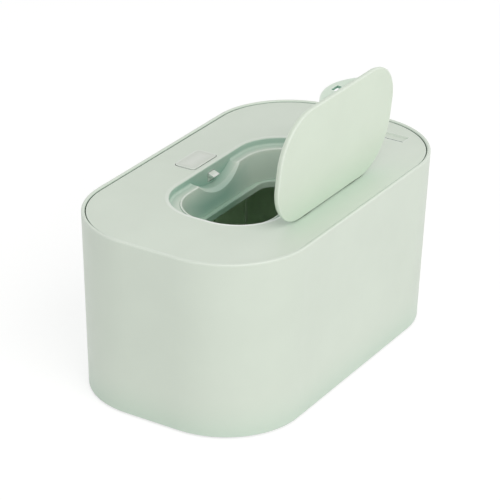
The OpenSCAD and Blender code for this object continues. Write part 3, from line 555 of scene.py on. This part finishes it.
def foil_heater(name, film, track):
    """Film of two shades over etched tracks that run to and fro."""
    mat, tree, shader = new_material(name)
    lines = remap(tree, stripes(tree, size=5.2, direction="Y", distortion=0.15), 0, 1, *TRACK_RANGE)
    paint = tint(tree, lines, tint(tree, clouds(tree, size=9), *film), track)
    finish_surface(tree, shader, paint, roughness=0.3, normal=bump(tree, lines, depth=0.04, strength=0.7))
    shader.inputs["Coat Weight"].default_value = 0.4
    shader.inputs["Coat Roughness"].default_value = 0.2
    return mat


def foam(name, colour):
    """Open foam with dark pores."""
    mat, tree, shader = new_material(name)
    pores = cells(tree, size=0.9)
    paint = tint(tree, remap(tree, pores, 0, 1, *PORE_RANGE), shade(colour, 0.72), colour)
    finish_surface(tree, shader, paint, roughness=0.9, normal=bump(tree, pores, depth=0.25, strength=0.8))
    return mat


def circuit_board(name, mask, case, top):
    """Solder mask over tracks up to the board's top face, and the parts' cases above it."""
    mat, tree, shader = new_material(name)
    tracks = remap(tree, stripes(tree, size=2.4, direction="X", distortion=2.2), 0, 1, *TRACE_RANGE)
    parts = tint(tree, clouds(tree, size=0.6, detail=3), *case)
    above = ramp(tree, along(tree, "Z"), top, top + SHARP)
    paint = tint(tree, above, tint(tree, tracks, *mask), parts)
    finish_surface(tree, shader, paint, roughness=0.38, normal=bump(tree, tracks, depth=0.03, strength=0.5))
    return mat


def wire_cover(name, low, high, axis, line):
    """Lead insulation in two colours, parted where the leads run on either side of a line."""
    mat, tree, shader = new_material(name)
    side = ramp(tree, along(tree, axis), line - SHARP, line + SHARP)
    scuff = clouds(tree, size=1.4, detail=3)
    paint = tint(tree, side, *(tint(tree, scuff, shade(colour, 0.85), colour) for colour in (low, high)))
    skin = bump(tree, noise(tree, size=0.5), depth=0.02, strength=0.5)
    finish_surface(tree, shader, paint, roughness=0.42, normal=skin)
    return mat


def frosted(name, colour):
    """Milky plastic that lets some light through."""
    mat, tree, shader = new_material(name)
    paint = tint(tree, clouds(tree, size=1.2, detail=3), shade(colour, 0.94), colour)
    frost = bump(tree, noise(tree, size=0.15), depth=0.01, strength=0.5, under=edge_round(tree, radius=0.15))
    finish_surface(tree, shader, paint, roughness=0.35, normal=frost)
    shader.inputs["Transmission Weight"].default_value = 0.35
    shader.inputs["Subsurface Weight"].default_value = 0.3
    shader.inputs["Subsurface Scale"].default_value = 1 * MM
    return mat


# ------------------------------------------------------------------ what each node is made of

MINT = srgb(214, 223, 211)
MINT_INNER = srgb(205, 219, 205)
# The lid's mint, made lighter: painted light for its lit outer face.
LID_MINT_LIT = srgb(217, 228, 212)
PUSH_BUTTON = srgb(205, 211, 201)
# A pale plastic made lighter still: partly its own colour, partly painted light for the latch's lit nose.
LATCH_PALE_LIT = srgb(228, 230, 224)
TANK = srgb(210, 232, 202)
FROSTED = srgb(240, 243, 238)
SILICONE = srgb(222, 229, 222)
FOOT_RUBBER = srgb(88, 92, 90)
FOAM = srgb(206, 205, 198)
PHENOLIC = srgb(70, 58, 50)
EPOXY = srgb(44, 44, 46)
NYLON = srgb(46, 48, 50)
AMBER_FILM = (srgb(196, 122, 38), srgb(212, 140, 52))
HEATER_TRACK = srgb(150, 84, 44)
SOLDER_MASK = (srgb(24, 92, 58), srgb(38, 116, 72))
BLACK_CASES = (srgb(32, 33, 35), srgb(48, 49, 52))
MAINS_LEADS = (srgb(70, 92, 150), srgb(120, 78, 52))
HEATER_LEADS = (srgb(172, 52, 40), srgb(196, 190, 178))
ALUMINIUM = (0.86, 0.87, 0.88)
BRASS = (0.86, 0.80, 0.62)
ZINC = (0.74, 0.75, 0.77)
SPRING_STEEL = (0.66, 0.66, 0.68)
BOARD_TOP = 8.05
MAINS_LEADS_PART_Y = -20           # one lead runs on either side of this
HEATER_LEADS_PART_X = 11.5
SMOOTH = {"roughness": 0.38, "grain": 0.006}


def shells():
    """The mint plastic parts and the lens."""
    cover = moulded("cover_plastic", MINT, depth=FUNNEL_SHADE_HEIGHTS, under=well_highlight_and_shade, over=undercut_shade)
    return {
        "outer_shell": moulded("shell_plastic", MINT),
        "cover_panel": cover,
        "lid_shell": moulded("lid_plastic", LID_MINT_LIT, near=0.55, seams=False),
        "push_button": moulded("push_button_plastic", PUSH_BUTTON, roughness=0.4, grain=0.008, shade_hollows=False),
        "latch_slider": moulded("latch_plastic", LATCH_PALE_LIT, roughness=0.36, grain=0.006, shade_hollows=False),
        # the liner's mint made lighter: painted light for its lit tab
        "lid_liner": moulded("liner_plastic", shade(MINT_INNER, 1.07), **SMOOTH),
        "mouth_ring": moulded("ring_plastic", MINT_INNER, depth=RING_SHADE_HEIGHTS, tone=RING_SHADE_TINT, **SMOOTH),
        "latch_guide": moulded("mint_inner_plastic", MINT_INNER, **SMOOTH),
        "base_plate": moulded("base_plastic", shade(MINT, 0.94), roughness=0.5, grain=0.03, grain_size=0.7),
        "mode_button": moulded("button_plastic", shade(MINT, 1.04), roughness=0.32, grain=0.004),
        "inner_tank": moulded("tank_plastic", TANK, roughness=0.5, mottle=0.04, shade_hollows=False),
        "indicator_lens": frosted("frosted_lens", FROSTED),
    }


def soft_parts():
    """Seals, feet and foam."""
    return {
        "cover_seal": soft_rubber("silicone_seal", SILICONE, roughness=0.4, through=0.3),
        "lid_gasket": soft_rubber("silicone_gasket", SILICONE, roughness=0.4, through=0.3),
        "rubber_feet": soft_rubber("foot_rubber", FOOT_RUBBER, roughness=0.75),
        "insulation_pad": foam("foam_pad", FOAM),
    }


def electrical_parts():
    """The heater, what controls it and what feeds it."""
    return {
        "heat_plate": metal("rolled_aluminium", ALUMINIUM, roughness=0.32, stretch=(0.03, 1, 1)),
        "heater_film": foil_heater("heater_foil", AMBER_FILM, HEATER_TRACK),
        "thermal_cutout": moulded("phenolic_case", PHENOLIC, roughness=0.45, grain=0.02),
        "temperature_sensor": moulded("sensor_epoxy", EPOXY, roughness=0.3, grain=0.01, mottle=0.1),
        "control_board": circuit_board("circuit_board", SOLDER_MASK, BLACK_CASES, BOARD_TOP),
        "power_inlet": moulded("inlet_nylon", NYLON, roughness=0.48, grain=0.015, mottle=0.06),
        "inlet_pins": metal("plated_brass", BRASS, roughness=0.24, stretch=(0.05, 1, 1)),
        "inlet_leads": wire_cover("mains_leads", *MAINS_LEADS, "Y", MAINS_LEADS_PART_Y),
        "heater_leads": wire_cover("heater_wires", *HEATER_LEADS, "X", HEATER_LEADS_PART_X),
    }


def fixings():
    """Screws, pins and springs."""
    zinc = metal("zinc_plate", ZINC, roughness=0.3, stretch=(1, 1, 0.2))
    wire = metal("spring_steel", SPRING_STEEL, roughness=0.26, line=0.2)
    return {
        **dict.fromkeys(("base_screws", "board_screws", "guide_screws"), zinc),
        **dict.fromkeys(("hinge_pins", "lid_springs", "button_springs"), wire),
    }


def dress_nodes():
    """Gives each node of the frame its material."""
    uses = {**shells(), **soft_parts(), **electrical_parts(), **fixings()}
    for name, node in nodes.items():
        node.data.materials.clear()
        node.data.materials.append(uses[name])


# ------------------------------------------------------------------ pieces

def finished(name, mesh, body, stands_for=()):
    """Puts a mesh in the scene as a piece of a body, and hides the nodes it stands for."""
    mesh.name = name
    piece = bpy.data.objects.new(name, mesh)
    bpy.context.scene.collection.objects.link(piece)
    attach(piece, body)
    if stands_for:
        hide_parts(*stands_for)
    return piece


def smooth_mesh(name, shape, material):
    """A smooth mesh of one material from a bmesh."""
    for face in shape.faces:
        face.smooth = True
    mesh = bpy.data.meshes.new(name)
    shape.to_mesh(mesh)
    shape.free()
    mesh.materials.append(material)
    return mesh


def clamped(value):
    return min(1, max(0, value))


DRAFT_EASE = 1.4                   # how much further out than the solids' the base stands here
EASE_FROM = 99.0                   # the height where that starts
WALL_FROM = 5.0                    # what lies deeper than this behind the wall stays where it is
WALL_FULL = 2.7                    # and what lies less deep goes all the way
SKINS = {                          # the body and the finish of each node with a steeper copy
    "outer_shell": ("housing", "mint_shell"),
    "base_plate": ("housing", "base_plastic"),
    "power_inlet": ("housing", "black_plastic"),
    "inlet_pins": ("housing", "screw_steel"),
    "mode_button": ("power_button", "mint_inner"),
    "indicator_lens": ("housing", "lens_plastic"),
}


def with_steeper_walls(name, body):
    """A copy of a housing node whose outer wall, and what sits in it, stands further out low down."""
    mesh = nodes[name].data.copy()
    core = Vector([side / 2 - RIM_CORNER for side in RIM_SIZE])
    for vert in mesh.vertices:
        x, y, z = vert.co / MM
        down = clamped((RIM_HEIGHT - z) / (RIM_HEIGHT - BASE_HEIGHT))
        out = Vector((x - min(core.x, max(-core.x, x)), y - min(core.y, max(-core.y, y))))
        inward = RIM_CORNER - WALL_DRAFT * down - out.length
        share = clamped((WALL_FROM - inward) / (WALL_FROM - WALL_FULL))
        if share > 0:
            ease = clamped((EASE_FROM - z) / (EASE_FROM - BASE_HEIGHT))
            step = out.normalized() * DRAFT_EASE * ease * share * MM
            vert.co.x += step.x
            vert.co.y += step.y
    return finished(name + "_skin", mesh, body, (name,))


def button_coils():
    """The springs under the push button, on a mesh of their own, as a piece of the top cover."""
    coils = finished("button_coils", nodes["button_springs"].data.copy(), "top_cover",
                     ("button_springs",))
    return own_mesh(coils)


SHUTTER_LOW = (-2.8, -33.0, 92.9)
SHUTTER_HIGH = (3.0, -32.15, 96.6)
SHUTTER_EDGE = 0.2
SHUTTER_EDGE_STEPS = 4


def latch_shutter():
    """The thin shutter under the latch's nose, which closes the latch's window."""
    size = [(b - a) * MM for a, b in zip(SHUTTER_LOW, SHUTTER_HIGH)]
    shape = bmesh.new()
    bmesh.ops.create_cube(shape, size=1)
    for vert in shape.verts:
        vert.co = Vector([(v + 0.5) * s + a * MM for v, s, a in zip(vert.co, size, SHUTTER_LOW)])
    bmesh.ops.bevel(shape, geom=shape.edges[:], offset=SHUTTER_EDGE * MM, segments=SHUTTER_EDGE_STEPS,
                    profile=0.5, affect="EDGES")
    mesh = smooth_mesh("latch_shutter", shape, nodes["latch_slider"].data.materials[0])
    return finished("latch_shutter", mesh, "latch")


CAP_SKIRT = DECK_HEIGHT - 0.5      # where the cap meets the button's body
CAP_TOP = DECK_HEIGHT + 0.55
CAP_FILLET = 0.5
CAP_DISH = 0.12                    # hollow for the fingertip
DISH_END = 0.3                     # from the cap's middle line
LEAST_CORNER = 0.05
CORNER_STEPS = 10
FILLET_STEPS = 6
DISH_STEPS = 8


def corner_outline(size, corner, inset):
    """Points round a rectangle with round corners, drawn in by inset."""
    r = max(corner - inset, LEAST_CORNER)
    core_x, core_y = (side / 2 - inset - r for side in size)
    points = []
    for i, (sx, sy) in enumerate(((1, 1), (-1, 1), (-1, -1), (1, -1))):
        for k in range(CORNER_STEPS + 1):
            a = math.radians(90 * i + 90 * k / CORNER_STEPS)
            points.append((sx * core_x + r * math.cos(a), sy * core_y + r * math.sin(a)))
    return points


def lofted(rings):
    """Skin through rings of equal length, given from the bottom up, closed at both ends."""
    shape = bmesh.new()
    loops = [[shape.verts.new(Vector(p) * MM) for p in ring] for ring in rings]
    count = len(loops[0])
    for a, b in zip(loops, loops[1:]):
        for i in range(count):
            j = (i + 1) % count
            shape.faces.new((a[i], a[j], b[j], b[i]))
    for loop, flip in ((loops[0], True), (loops[-1], False)):
        middle = shape.verts.new(sum((v.co for v in loop), Vector()) / count)
        for i in range(count):
            j = (i + 1) % count
            corner = (loop[j], loop[i], middle) if flip else (loop[i], loop[j], middle)
            shape.faces.new(corner)
    return shape


def button_cap():
    """The visible top of the push button: filleted edge and a shallow dish."""
    levels = [(0, CAP_SKIRT), (0, CAP_TOP - CAP_FILLET)]
    for k in range(1, FILLET_STEPS + 1):
        a = math.radians(90 * k / FILLET_STEPS)
        levels.append((CAP_FILLET * (1 - math.cos(a)), CAP_TOP - CAP_FILLET * (1 - math.sin(a))))
    reach = BUTTON_SIZE[1] / 2 - DISH_END
    for k in range(1, DISH_STEPS + 1):
        inset = CAP_FILLET + (reach - CAP_FILLET) * k / DISH_STEPS
        levels.append((inset, CAP_TOP - CAP_DISH * math.sin(math.radians(90 * k / DISH_STEPS)) ** 2))
    rings = [[(x + BUTTON_CENTRE[0], y + BUTTON_CENTRE[1], z)
              for x, y in corner_outline(BUTTON_SIZE, BUTTON_CORNER, inset)] for inset, z in levels]
    mesh = smooth_mesh("button_cap", lofted(rings), nodes["push_button"].data.materials[0])
    return finished("button_cap", mesh, "button")


make_camera()
make_world()
make_floor()
make_key_light()
dress_nodes()
for name, (body, finish) in SKINS.items():
    with_steeper_walls(name, body)
latch_shutter()
button_cap()
button_coils()

bpy.context.scene.view_settings.view_transform = "Standard"
